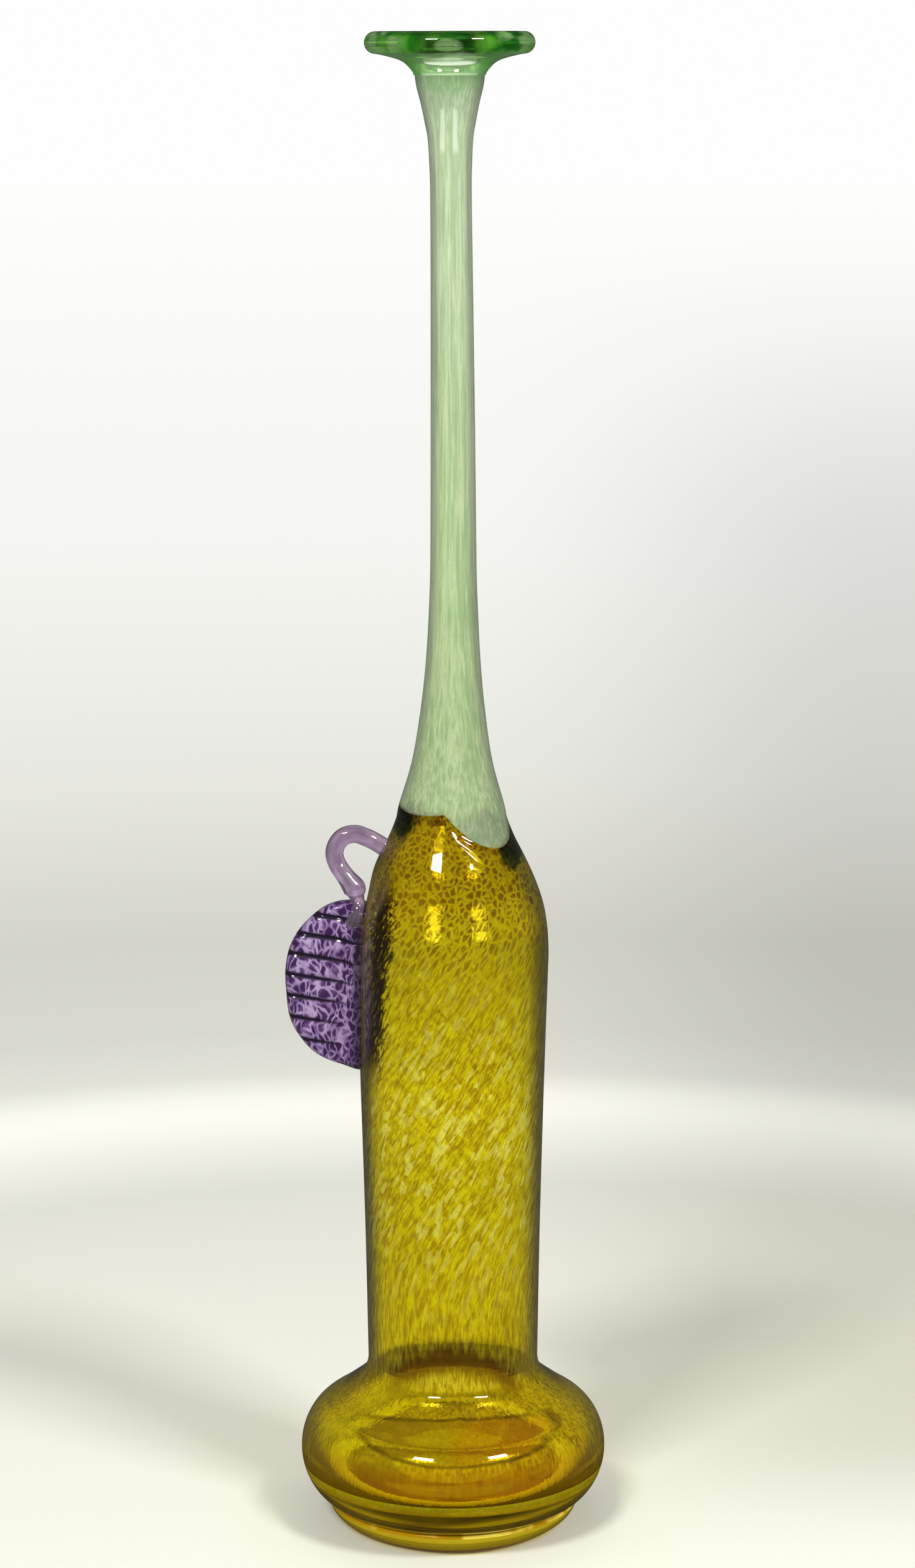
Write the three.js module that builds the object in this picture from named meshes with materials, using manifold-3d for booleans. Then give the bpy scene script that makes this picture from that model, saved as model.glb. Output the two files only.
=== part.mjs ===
import * as THREE from 'three';
import { mergeVertices } from 'three/addons/utils/BufferGeometryUtils.js';
import Module from 'manifold-3d';

// An art glass vase, built from its separate gathers of glass: a foot, a hollow body with a
// ring shaped bulge, a long neck, a thick lip, a grooved leaf and a curled tendril.
// Lengths are in millimetres, +Z is up, and the origin is the middle of the flat base.

const wasm = await Module();
wasm.setup();

// Fused pieces keep this much room between their solids, measured upwards at the steep join.
const seam = 0.3;
const joinSeam = 0.5;

// Foot
const footRadius = 29.6;
const footContactRadius = 23.2;
const footHeight = 5.9;
const footShoulder = 0.5;
const footEdgeAngle = 60;

// Bulge at the bottom of the body
const bulgeRadius = 36.2;
const bulgeRingRadius = 26;
const bulgeMiddleHeight = 18.2;
const bulgeHalfHeight = 12.6;
const bulgeShoulderAngle = 68;
const bulgeWall = 3.7;

// Hollow of the bulge: a round trough with a raised floor in its middle
const troughRingRadius = 26.5;
const troughHeight = 12;
const floorRise = 3.5;
const floorSlope = 4;

// Body above the bulge
const waistRadius = 20.1;
const waistHeight = 40;
const bellyRadius = 22.6;
const wallHeight = 99;
const shoulderHeight = 35;
const bodyWall = 1.6;
const shoulderWall = 4.2;
const gatherRise = 4;
const gatherHeight = 18;

// Neck, from its join with the body up to the lip
const joinRadius = 12.2;
const joinTaper = 16;
const neckHeight = 166.2;
const neckLowRadius = 5.3;
const neckLowRise = 57;
const neckSlimRadius = 4.7;
const neckSlimDrop = 30.2;
const neckTopRadius = 7.9;
const neckWall = 1.3;
const neckBow = 0.56;
const neckBowRise = 55;

// Lip
const lipRadius = 19.2;
const lipHeight = 9.8;
const lipThickness = 5;
const lipStep = 0.25;
const lipDish = 0.9;
const mouthRadius = 9;

// Leaf, hung by its lower end below the join
const leafDrop = 64.1;
const leafHeight = 40.4;
const leafReach = 16.6;
const leafRoot = 3.6;
const leafThickness = 5.6;
const leafEdgeRadius = 2.4;
const leafFlare = 2.2;
const leafFlareReach = 4.5;
const leafTurn = THREE.MathUtils.degToRad(4);
const leafGroovePitch = 5.05;
const leafGrooveDepth = 0.7;
const leafGrooveSlope = THREE.MathUtils.degToRad(7.7);
const leafGrooveTop = 4.3;

// Flat that the leaf presses into the wall, deepest close to the leaf's top
const flatDepth = 1.3;
const flatLow = 46;
const flatHigh = 11;
const flatHalfAngle = THREE.MathUtils.degToRad(42);

// Tendril
const tendrilRadius = 2.1;
const tendrilStemRadius = 1.2;
const tendrilReach = 11.2;
const tendrilRise = 16.6;

// Heights of the stations that follow from the lengths above
const bellyHeight = waistHeight + wallHeight;
const joinHeight = bellyHeight + shoulderHeight;
const neckTopHeight = joinHeight + neckHeight;
const lipTopHeight = neckTopHeight + lipHeight;
const leafBottomHeight = joinHeight - leafDrop;
const leafTopHeight = leafBottomHeight + leafHeight;

// How finely the round shapes are divided
const turnSegments = 36;
const joinRows = 4;

// Uneven lower edge of the neck: middle and half width of each lobe round the axis in degrees,
// and its drop as a share of the lobe depth. The front is at 270 degrees.
const lobeDepth = 8.4;
const lobes = [
  { middle: 317, half: 56, dropShare: 1 },
  { middle: 20, half: 40, dropShare: 0.5 },
  { middle: 92, half: 58, dropShare: 0.8 },
  { middle: 232, half: 40, dropShare: 0.1 },
];

// Height of the join round the axis, below its highest level.
function joinDrop(angle) {
  let drop = 0;
  for (const lobe of lobes) {
    const away = THREE.MathUtils.degToRad(lobe.middle) - angle;
    const turned = Math.abs(Math.atan2(Math.sin(away), Math.cos(away)));
    const half = THREE.MathUtils.degToRad(lobe.half);
    if (turned < half) {
      const bump = (1 + Math.cos(Math.PI * turned / half)) / 2;
      drop = Math.max(drop, lobeDepth * lobe.dropShare * Math.sqrt(bump));
    }
  }
  return drop;
}

// Outer outline of body and neck from the top of the bulge to the top of the neck. Each row
// gives a place between two named stations: its radius share and its height share.
function stretch(low, high, shares) {
  return shares.map(([radiusShare, heightShare]) => new THREE.Vector2(
    THREE.MathUtils.lerp(low.x, high.x, radiusShare),
    THREE.MathUtils.lerp(low.y, high.y, heightShare),
  ));
}

const waist = new THREE.Vector2(waistRadius, waistHeight);
const belly = new THREE.Vector2(bellyRadius, bellyHeight);
const join = new THREE.Vector2(joinRadius, joinHeight);
const neckLow = new THREE.Vector2(neckLowRadius, joinHeight + neckLowRise);
const neckSlim = new THREE.Vector2(neckSlimRadius, neckTopHeight - neckSlimDrop);
const neckTop = new THREE.Vector2(neckTopRadius, neckTopHeight);
const flankShares = [[0.38, 0.26], [0.78, 0.56], [0.945, 0.775]];
const wallShares = [[0.4, 0.5]];
const shoulderShares = [[0.044, 0.206], [0.154, 0.378], [0.264, 0.459], [0.519, 0.634], [0.81, 0.808]];
const taperShares = [[0.42, 0.18], [0.7, 0.4], [0.86, 0.6], [0.95, 0.8]];
const slimShares = [[0.4, 0.4]];
const flareShares = [
  [0.05, 0.37], [0.15, 0.55], [0.31, 0.645], [0.47, 0.735], [0.66, 0.825], [0.88, 0.917],
];

const bodyCurve = new THREE.SplineCurve([
  waist, ...stretch(waist, belly, wallShares),
  belly, ...stretch(belly, join, shoulderShares),
  join, ...stretch(join, neckLow, taperShares),
  neckLow, ...stretch(neckLow, neckSlim, slimShares),
  neckSlim, ...stretch(neckSlim, neckTop, flareShares),
  neckTop,
]);
const curveSamples = 900;
const curvePoints = bodyCurve.getPoints(curveSamples);

// Outer radius at a height above the waist.
function radiusAt(height) {
  for (let i = 1; i < curvePoints.length; i += 1) {
    const low = curvePoints[i - 1];
    const high = curvePoints[i];
    if (height <= high.y) {
      const share = (height - low.y) / (high.y - low.y);
      return THREE.MathUtils.lerp(low.x, high.x, Math.max(share, 0));
    }
  }
  return neckTop.x;
}

// Heights that divide a stretch between two heights into equal steps.
function steps(low, high, count) {
  return Array.from({ length: count }, (_, i) => THREE.MathUtils.lerp(low, high, i / count));
}

// Wall of a stretch: outer points going up, and inner points going back down.
function wallUp(heights) {
  return heights.map((height) => new THREE.Vector2(radiusAt(height), height));
}

function wallDown(heights, wallAt) {
  return [...heights].reverse().map(
    (height) => new THREE.Vector2(radiusAt(height) - wallAt(height), height),
  );
}

// Thickness of the body's wall, which gathers on the shoulder below the join.
function bodyWallAt(height) {
  const start = bellyHeight + gatherRise;
  const gathered = THREE.MathUtils.smoothstep(height, start, start + gatherHeight);
  return THREE.MathUtils.lerp(bodyWall, shoulderWall, gathered);
}

// Elliptical arc in the outline's plane, from one angle to another, both in degrees.
function arc(centre, across, up, from, to, count) {
  return Array.from({ length: count + 1 }, (_, i) => {
    const angle = THREE.MathUtils.degToRad(THREE.MathUtils.lerp(from, to, i / count));
    return new THREE.Vector2(centre.x + across * Math.cos(angle), centre.y + up * Math.sin(angle));
  });
}

// How far the wall is pressed in by the leaf, at an angle round the axis and a height.
function flatAt(angle, height) {
  const away = Math.PI - Math.abs(Math.atan2(Math.sin(angle), Math.cos(angle)));
  const along = (height - leafTopHeight) / (height < leafTopHeight ? flatLow : flatHigh);
  if (away > flatHalfAngle || Math.abs(along) > 1) return 0;
  const across = (1 + Math.cos(Math.PI * away / flatHalfAngle)) / 2;
  return flatDepth * across * (1 + Math.cos(Math.PI * along)) / 2;
}

// Moves every point of a turned solid in by the depth of the flat there.
function pressFlat(geometry) {
  const position = geometry.getAttribute('position');
  for (let i = 0; i < position.count; i += 1) {
    const x = position.getX(i);
    const y = position.getY(i);
    const radius = Math.hypot(x, y);
    const depth = flatAt(Math.atan2(y, x), position.getZ(i));
    if (depth > 0) position.setXY(i, x * (1 - depth / radius), y * (1 - depth / radius));
  }
  return geometry;
}

// Turned solid round the Z axis, with its faces pointing out.
function turned(outline) {
  const geometry = new THREE.LatheGeometry(outline, turnSegments);
  geometry.rotateX(Math.PI / 2);
  return plain(geometry);
}

// Geometry with only positions, and each shared corner kept once.
function plain(geometry) {
  geometry.deleteAttribute('uv');
  geometry.deleteAttribute('normal');
  return mergeVertices(geometry);
}

// Moves the rows near the join down with its lobes, sliding them along the outline.
function followJoin(geometry, share) {
  const position = geometry.getAttribute('position');
  for (let i = 0; i < position.count; i += 1) {
    const x = position.getX(i);
    const y = position.getY(i);
    const height = position.getZ(i);
    const radius = Math.hypot(x, y);
    const weight = share(height);
    if (weight > 0) {
      const lower = height - weight * joinDrop(Math.atan2(y, x));
      const moved = radius + radiusAt(lower) - radiusAt(height);
      position.setXYZ(i, x * moved / radius, y * moved / radius, lower);
    }
  }
  return geometry;
}

// Bends the long thin stretch of a geometry slightly to one side.
function bowed(geometry) {
  const position = geometry.getAttribute('position');
  for (let i = 0; i < position.count; i += 1) {
    const height = position.getZ(i);
    const bowHeight = joinHeight + neckBowRise;
    const end = height < bowHeight ? joinHeight : neckTopHeight;
    const share = THREE.MathUtils.clamp((height - end) / (bowHeight - end), 0, 1);
    position.setX(i, position.getX(i) + neckBow * Math.sin(Math.PI / 2 * share));
  }
  return geometry;
}

// Foot: a flat disc whose side flares out from the ground and tucks in again under the bulge.
function footGeometry() {
  const edge = THREE.MathUtils.degToRad(footEdgeAngle);
  const across = (footRadius - footContactRadius) / (1 - Math.cos(edge));
  const up = (footHeight - footShoulder) / Math.sin(edge);
  const centre = new THREE.Vector2(footRadius - across, footHeight - footShoulder);
  const side = arc(centre, across, up, -footEdgeAngle, 0, 6);
  return turned([
    new THREE.Vector2(0, 0),
    ...side,
    new THREE.Vector2(footRadius - footShoulder / 2, footHeight),
    new THREE.Vector2(0, footHeight),
  ]);
}

// Curve from the bulge up to the wall, outside or inside.
function flank(low, high) {
  const curve = new THREE.SplineCurve([low, ...stretch(low, high, flankShares), high]);
  return curve.getPoints(7).slice(1);
}

// Outer outline of the bulge from the foot's top to the waist.
function bulgeOutline() {
  const floor = footHeight + seam;
  const start = -Math.asin((bulgeMiddleHeight - floor) / bulgeHalfHeight);
  const centre = new THREE.Vector2(bulgeRingRadius, bulgeMiddleHeight);
  const across = bulgeRadius - bulgeRingRadius;
  const from = THREE.MathUtils.radToDeg(start);
  const round = arc(centre, across, bulgeHalfHeight, from, bulgeShoulderAngle, 10);
  return [...round, ...flank(round[round.length - 1], waist)];
}

// Slope from the raised floor down into the trough, as radius and height shares.
const floorSlopeShares = [[0.25, 0.05], [0.5, 0.22], [0.78, 0.75]];

// Inside of the bulge, from the waist down to the middle of the hollow's floor.
function cavityOutline() {
  const across = bulgeRadius - bulgeWall - troughRingRadius;
  const top = bulgeMiddleHeight + bulgeHalfHeight - bulgeWall;
  const half = (top - troughHeight) / 2;
  const centre = new THREE.Vector2(troughRingRadius, troughHeight + half);
  const round = arc(centre, across, half, -90, bulgeShoulderAngle, 9);
  const waistInside = new THREE.Vector2(waistRadius - bodyWall, waistHeight);
  const rise = [...round, ...flank(round[round.length - 1], waistInside)];
  const floorEdge = new THREE.Vector2(troughRingRadius - floorSlope, troughHeight + floorRise);
  const slope = stretch(floorEdge, round[0], floorSlopeShares);
  return [...rise.reverse().slice(1), ...slope.reverse(), floorEdge, new THREE.Vector2(0, floorEdge.y)];
}

// Body: bulge, wall and shoulder in one hollow bubble, open at the join.
function bodyGeometry() {
  const rim = joinHeight - joinSeam / 2;
  const taperStart = rim - joinTaper;
  const wall = [...steps(waistHeight, bellyHeight, 6), ...steps(bellyHeight, taperStart, 6)];
  const heights = [...wall, ...steps(taperStart, rim, joinRows), rim];
  const outline = [
    new THREE.Vector2(0, footHeight + seam),
    ...bulgeOutline(),
    ...wallUp(heights.slice(1)),
    ...wallDown(heights, bodyWallAt),
    ...cavityOutline(),
  ];
  return pressFlat(followJoin(turned(outline), (height) => (height - taperStart) / joinTaper));
}

// Neck: a long thin tube with a lobed lower edge that meets the body's rim.
function neckGeometry() {
  const rim = joinHeight + joinSeam / 2;
  const taperEnd = rim + joinTaper;
  const taper = steps(rim, taperEnd, joinRows);
  const tube = [...steps(taperEnd, neckLow.y, 6), ...steps(neckLow.y, neckSlim.y, 3)];
  const heights = [...taper, ...tube, ...steps(neckSlim.y, neckTopHeight, 7), neckTopHeight];
  const outer = wallUp(heights);
  const tubeSolid = turned([...outer, ...wallDown(heights, () => neckWall), outer[0]]);
  return bowed(followJoin(tubeSolid, (height) => (taperEnd - height) / joinTaper));
}

// Underside of the lip from the neck's top out to its round edge.
const undersideShares = [[0.02, 0.13], [0.13, 0.38], [0.25, 0.58], [0.44, 0.755], [0.8, 0.93]];
const funnelShare = 0.45;

// Lip: a thick round edged disc with a flared underside and a dished mouth.
function lipGeometry() {
  const half = lipThickness / 2;
  const rimCentre = new THREE.Vector2(lipRadius - half, lipTopHeight - half);
  const seat = neckTopHeight + seam;
  const low = new THREE.Vector2(neckTopRadius + lipStep, seat);
  const outer = new THREE.Vector2(rimCentre.x, rimCentre.y - half);
  const bore = new THREE.Vector2(neckTopRadius - neckWall, seat);
  const mouth = new THREE.Vector2(mouthRadius, lipTopHeight - lipDish);
  return turned([
    low,
    ...stretch(low, outer, undersideShares),
    ...arc(rimCentre, half, half, -90, 90, 8),
    mouth,
    ...stretch(mouth, bore, [[funnelShare, lipDish / (mouth.y - seat)]]),
    bore,
    low,
  ]);
}

// Solid of the whole outer outline, grown by a seam, which cuts what is stuck on the wall.
function wallCutter() {
  const grown = curvePoints.filter((_, i) => i % 12 === 0).map(
    (point) => new THREE.Vector2(point.x + seam, point.y),
  );
  return pressFlat(turned([
    new THREE.Vector2(0, grown[0].y), ...grown, new THREE.Vector2(0, grown[grown.length - 1].y),
  ]));
}

function toSolid(geometry) {
  return new wasm.Manifold(new wasm.Mesh({
    numProp: 3,
    vertProperties: new Float32Array(geometry.getAttribute('position').array),
    triVerts: new Uint32Array(geometry.index.array),
  }));
}

function toGeometry(solid) {
  const mesh = solid.getMesh();
  const geometry = new THREE.BufferGeometry();
  geometry.setAttribute('position', new THREE.BufferAttribute(mesh.vertProperties, 3));
  geometry.setIndex(new THREE.BufferAttribute(mesh.triVerts, 1));
  return geometry;
}

// Rim of the leaf from its bottom to its top: reach from the root, and height, both as shares.
const leafRimShares = [
  [0.1, 0], [0.33, 0.015], [0.55, 0.04], [0.71, 0.08], [0.83, 0.14], [0.91, 0.2], [0.965, 0.275],
  [0.99, 0.39], [1, 0.52], [0.96, 0.645], [0.87, 0.75], [0.74, 0.84], [0.57, 0.925], [0.4, 0.975],
  [0.25, 0.993], [0.1, 1],
];

// Rounding of an edge: thickness share at a distance from it.
function edgeShare(distance) {
  const inside = THREE.MathUtils.clamp(distance / leafEdgeRadius, 0, 1);
  return Math.sqrt(1 - (1 - inside) ** 2);
}

// How far the lowest and the highest groove run in from the rim, as shares of the leaf's span.
const lowGrooveShare = 0.5;
const highGrooveShare = 1.4;

// Depth of the pressed grooves on the leaf, deepest at the rim and fading towards the root.
function grooveAt(out, height, rim) {
  const wave = Math.abs(Math.sin(Math.PI * (leafHeight - leafGrooveTop - height) / leafGroovePitch));
  const fade = THREE.MathUtils.lerp(lowGrooveShare, highGrooveShare, height / leafHeight);
  const reach = THREE.MathUtils.clamp(fade - (rim - out) / (leafReach + leafRoot), 0, 1);
  return leafGrooveDepth * (1 - wave) ** 2 * Math.sqrt(reach);
}

// Leaf: a pad with a rounded rim, a flared root and slanting pressed grooves on both faces.
// Growing it gives the room that the tendril keeps to it.
function leafGeometry(grow) {
  const rootRadius = bellyRadius - leafRoot;
  const span = leafReach + leafRoot;
  const rows = 52;
  const columnShares = [0, 0.13, 0.24, 0.4, 0.58, 0.76, 0.88, 0.95, 0.985, 1];
  const rimCurve = new THREE.SplineCurve(leafRimShares.map(
    ([outShare, heightShare]) => new THREE.Vector2(span * outShare, leafHeight * heightShare),
  )).getPoints(4 * rows);
  const rimAt = (height) => {
    const high = rimCurve.findIndex((point) => point.y >= height);
    if (high < 1) return (high < 0 ? rimCurve[rimCurve.length - 1] : rimCurve[0]).x;
    const [from, to] = [rimCurve[high - 1], rimCurve[high]];
    return THREE.MathUtils.mapLinear(height, from.y, to.y, from.x, to.x);
  };
  const place = (row, column, side) => {
    const height = leafHeight * row / rows;
    const rim = rimAt(height) + grow;
    const out = rim * columnShares[column];
    const stretchUp = 1 + 2 * grow / leafHeight;
    const end = edgeShare(Math.min(height, leafHeight - height) * stretchUp);
    const fromWall = THREE.MathUtils.clamp(1 - (out - leafRoot) / leafFlareReach, 0, 1);
    const full = leafThickness / 2 + grow + leafFlare * fromWall ** 2;
    const half = (full - grooveAt(out, height, rim)) * end * edgeShare(rim - out);
    const up = (height - leafHeight / 2) * stretchUp + leafHeight / 2;
    const level = leafBottomHeight + up + out * Math.tan(leafGrooveSlope);
    return [-rootRadius - out, side * half, level];
  };
  const positions = [];
  const width = columnShares.length;
  for (const side of [-1, 1]) {
    for (let row = 0; row <= rows; row += 1) {
      for (let column = 0; column < width; column += 1) positions.push(...place(row, column, side));
    }
  }
  const back = (rows + 1) * width;
  const faces = [];
  for (let row = 0; row < rows; row += 1) {
    const low = row * width;
    const high = low + width;
    for (let i = 0; i < width - 1; i += 1) {
      faces.push(low + i, high + i, low + i + 1, high + i, high + i + 1, low + i + 1);
      const behind = back + i;
      faces.push(behind + low, behind + low + 1, behind + high);
      faces.push(behind + high, behind + low + 1, behind + high + 1);
    }
    faces.push(low, back + low, high, high, back + low, back + high);
  }
  return closed(positions, faces);
}

// Closed geometry from corners and faces, where corners at one place become one.
function closed(positions, faces) {
  const raw = new THREE.BufferGeometry();
  raw.setAttribute('position', new THREE.Float32BufferAttribute(positions, 3));
  raw.setIndex(faces);
  const geometry = mergeVertices(raw);
  const index = geometry.index.array;
  const kept = [];
  for (let i = 0; i < index.length; i += 3) {
    const [a, b, c] = [index[i], index[i + 1], index[i + 2]];
    if (a !== b && b !== c && c !== a) kept.push(a, b, c);
  }
  geometry.setIndex(kept);
  return geometry;
}

// Course of the tendril: distance from the wall as a share of its reach, height above the
// leaf's top as a share of its rise, turn towards the front in degrees, and thickness as a
// share of the way from the stem to the rod.
const tendrilCourse = [
  { outShare: 0.19, riseShare: -0.29, turn: 0, thickShare: 1 },
  { outShare: 0.16, riseShare: -0.19, turn: 7, thickShare: 0.8 },
  { outShare: 0.16, riseShare: -0.07, turn: 10, thickShare: 0.2 },
  { outShare: 0.16, riseShare: 0.05, turn: 8, thickShare: 0.1 },
  { outShare: 0.23, riseShare: 0.14, turn: 6, thickShare: 0.7 },
  { outShare: 0.31, riseShare: 0.24, turn: 4, thickShare: 1.6 },
  { outShare: 0.53, riseShare: 0.4, turn: 3, thickShare: 1.1 },
  { outShare: 0.77, riseShare: 0.56, turn: 1, thickShare: 1 },
  { outShare: 0.95, riseShare: 0.72, turn: 0, thickShare: 1 },
  { outShare: 1, riseShare: 0.87, turn: 0, thickShare: 1 },
  { outShare: 0.92, riseShare: 0.97, turn: 0, thickShare: 1 },
  { outShare: 0.71, riseShare: 1, turn: 0, thickShare: 1 },
  { outShare: 0.46, riseShare: 0.955, turn: 1, thickShare: 1 },
  { outShare: 0.24, riseShare: 0.895, turn: 1, thickShare: 1 },
  { outShare: 0, riseShare: 0.82, turn: 2, thickShare: 1 },
  { outShare: -0.24, riseShare: 0.74, turn: 2, thickShare: 1 },
];

// Tendril: a rod swept along its course, before its two ends are cut to their seats.
function tendrilRod() {
  const places = tendrilCourse.map((stop) => {
    const height = leafTopHeight + tendrilRise * stop.riseShare;
    const angle = Math.PI + THREE.MathUtils.degToRad(stop.turn);
    const radius = radiusAt(height) - flatAt(angle, height) + tendrilReach * stop.outShare;
    return new THREE.Vector3(radius * Math.cos(angle), radius * Math.sin(angle), height);
  });
  const course = new THREE.CatmullRomCurve3(places, false, 'centripetal');
  const thickness = new THREE.SplineCurve(
    tendrilCourse.map((stop, i) => new THREE.Vector2(i / (tendrilCourse.length - 1), stop.thickShare)),
  );
  const count = 42;
  const sides = 10;
  const frames = course.computeFrenetFrames(count, false);
  const positions = [];
  const faces = [];
  for (let i = 0; i <= count; i += 1) {
    const share = course.getUtoTmapping(i / count);
    const centre = course.getPoint(share);
    const thick = thickness.getPoint(share).y;
    const radius = THREE.MathUtils.lerp(tendrilStemRadius, tendrilRadius, thick);
    for (let j = 0; j < sides; j += 1) {
      const angle = 2 * Math.PI * j / sides;
      const point = centre.clone()
        .addScaledVector(frames.normals[i], radius * Math.cos(angle))
        .addScaledVector(frames.binormals[i], radius * Math.sin(angle));
      positions.push(point.x, point.y, point.z);
    }
  }
  for (const end of [places[0], places[places.length - 1]]) positions.push(end.x, end.y, end.z);
  const first = (count + 1) * sides;
  for (let i = 0; i < count; i += 1) {
    for (let j = 0; j < sides; j += 1) {
      const a = i * sides + j;
      const b = i * sides + (j + 1) % sides;
      faces.push(a, b, b + sides, a, b + sides, a + sides);
    }
  }
  for (let j = 0; j < sides; j += 1) {
    const next = (j + 1) % sides;
    faces.push(first, next, j, first + 1, count * sides + j, count * sides + next);
  }
  const geometry = new THREE.BufferGeometry();
  geometry.setAttribute('position', new THREE.Float32BufferAttribute(positions, 3));
  geometry.setIndex(faces);
  return geometry;
}

const cutter = toSolid(wallCutter());
const leafSolid = toSolid(leafGeometry(0).rotateZ(-leafTurn)).subtract(cutter);
const leafRoom = toSolid(leafGeometry(seam).rotateZ(-leafTurn));
const tendrilSolid = toSolid(tendrilRod()).subtract(cutter).subtract(leafRoom);

function glass(color, opacity) {
  return new THREE.MeshStandardMaterial({
    color, roughness: 0.06, metalness: 0, transparent: true, opacity,
  });
}

function piece(name, geometry, material) {
  const mesh = new THREE.Mesh(geometry, material);
  mesh.name = name;
  return mesh;
}

const vase = new THREE.Group();
vase.add(
  piece('foot', footGeometry(), glass(0xc9b21c, 0.5)),
  piece('body', bodyGeometry(), glass(0xb49a0c, 0.7)),
  piece('neck', neckGeometry(), glass(0xa9c495, 0.85)),
  piece('lip', lipGeometry(), glass(0x3f9a4a, 0.6)),
  piece('leaf', toGeometry(leafSolid), glass(0x6d4a86, 0.9)),
  piece('tendril', toGeometry(tendrilSolid), glass(0x9a80ab, 0.75)),
);

export default vase;
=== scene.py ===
import math

import bpy
import numpy as np
from mathutils import Euler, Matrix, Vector


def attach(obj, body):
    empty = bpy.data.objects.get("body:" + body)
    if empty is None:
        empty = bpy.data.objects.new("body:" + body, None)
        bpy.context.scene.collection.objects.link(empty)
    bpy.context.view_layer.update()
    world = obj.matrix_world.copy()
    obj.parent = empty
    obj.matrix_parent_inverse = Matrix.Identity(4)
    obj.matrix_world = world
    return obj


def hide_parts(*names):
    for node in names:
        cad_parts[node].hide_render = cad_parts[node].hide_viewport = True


# An art glass vase. Each gather of glass is a closed shell: clear casing outside, and the
# coloured layer on the side of the hollow. Shapes are in millimetres, finishes and the studio
# in metres.

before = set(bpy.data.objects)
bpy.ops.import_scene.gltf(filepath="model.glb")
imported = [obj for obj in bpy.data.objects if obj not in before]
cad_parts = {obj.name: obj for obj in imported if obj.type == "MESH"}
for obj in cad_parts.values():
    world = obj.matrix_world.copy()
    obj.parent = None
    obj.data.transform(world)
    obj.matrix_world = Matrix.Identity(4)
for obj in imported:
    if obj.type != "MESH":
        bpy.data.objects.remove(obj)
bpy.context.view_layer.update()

MM = 0.001
TURNS = 240
SEAM = 0.005
FLAT_STOPS = (0, 8, 16)


# Outline --------------------------------------------------------------------------------------

def smooth(value, low, high):
    """Soft step from 0 at low to 1 at high."""
    share = np.clip((value - low) / (high - low), 0, 1)
    return share * share * (3 - 2 * share)


def mixed(low, high, share):
    return low + (high - low) * share


def through(stops, count):
    """Smooth curve through the stops, as count points."""
    stops = np.asarray(stops, float)
    last = len(stops) - 1
    points = []
    for place in np.linspace(0, last, count):
        start = min(int(place), last - 1)
        t = place - start
        p0, p1, p2, p3 = (stops[min(max(start + k, 0), last)] for k in (-1, 0, 1, 2))
        v0, v1 = (p2 - p0) / 2, (p3 - p1) / 2
        points.append((2 * p1 - 2 * p2 + v0 + v1) * t ** 3
                      + (-3 * p1 + 3 * p2 - 2 * v0 - v1) * t ** 2 + v0 * t + p1)
    return np.array(points)


def between(low, high, shares):
    """Stops between two stations, from their radius and height shares."""
    return [(mixed(low[0], high[0], a), mixed(low[1], high[1], b)) for a, b in shares]


def arc(centre, reach, start, end, count):
    """Part of an oval. Angles in degrees, 0 points outwards and 90 up."""
    angles = np.radians(np.linspace(start, end, count))
    return [(centre[0] + reach[0] * math.cos(a), centre[1] + reach[1] * math.sin(a))
            for a in angles]


# Stations of the outer outline: radius and height
WAIST = (20.1, 40)
BELLY = (22.6, 139)
JOIN = (12.2, 174)
NECK_LOW = (5.3, 231)
NECK_SLIM = (4.7, 310)
NECK_TOP = (7.9, 340.2)

# Shares of the way from one station to the next
WALL = [(0.2, 0.3), (0.47, 0.57), (0.72, 0.78), (0.89, 0.91), (0.965, 0.965)]
SHOULDER = [(0.027, 0.157), (0.111, 0.314), (0.271, 0.463), (0.495, 0.617), (0.758, 0.774),
            (0.93, 0.903)]
NECK_ROOT = [(0.42, 0.18), (0.7, 0.4), (0.86, 0.6), (0.95, 0.8)]
TUBE = [(0.4, 0.4)]
FLARE = [(0.05, 0.37), (0.15, 0.55), (0.31, 0.645), (0.47, 0.735), (0.66, 0.825), (0.88, 0.917)]
FLANK = [(0.38, 0.26), (0.78, 0.56), (0.945, 0.775)]

OUTLINE = through([
    WAIST, *between(WAIST, BELLY, WALL),
    BELLY, *between(BELLY, JOIN, SHOULDER),
    JOIN, *between(JOIN, NECK_LOW, NECK_ROOT),
    NECK_LOW, *between(NECK_LOW, NECK_SLIM, TUBE),
    NECK_SLIM, *between(NECK_SLIM, NECK_TOP, FLARE),
    NECK_TOP,
], 1200)


def radius_at(height):
    return np.interp(height, OUTLINE[:, 1], OUTLINE[:, 0])


def wall_rows(heights, wall=0):
    return list(zip(radius_at(heights) - wall, heights))


# Unevenness of the hand work ------------------------------------------------------------------

# Lobes of the neck's lower edge: middle and half width in degrees, and drop
LOBES = [(317, 56, 8.4), (20, 40, 4.2), (92, 58, 6.72), (232, 40, 0.84)]
LOBE_FADE = 16


def join_drop(angle):
    drop = np.zeros_like(angle)
    for middle, half, depth in LOBES:
        away = math.radians(middle) - angle
        share = np.abs(np.arctan2(np.sin(away), np.cos(away))) / math.radians(half)
        lobe = np.where(share < 1, (1 + np.cos(math.pi * np.minimum(share, 1))) / 2, 0)
        drop = np.maximum(drop, depth * np.sqrt(lobe))
    return drop


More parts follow.
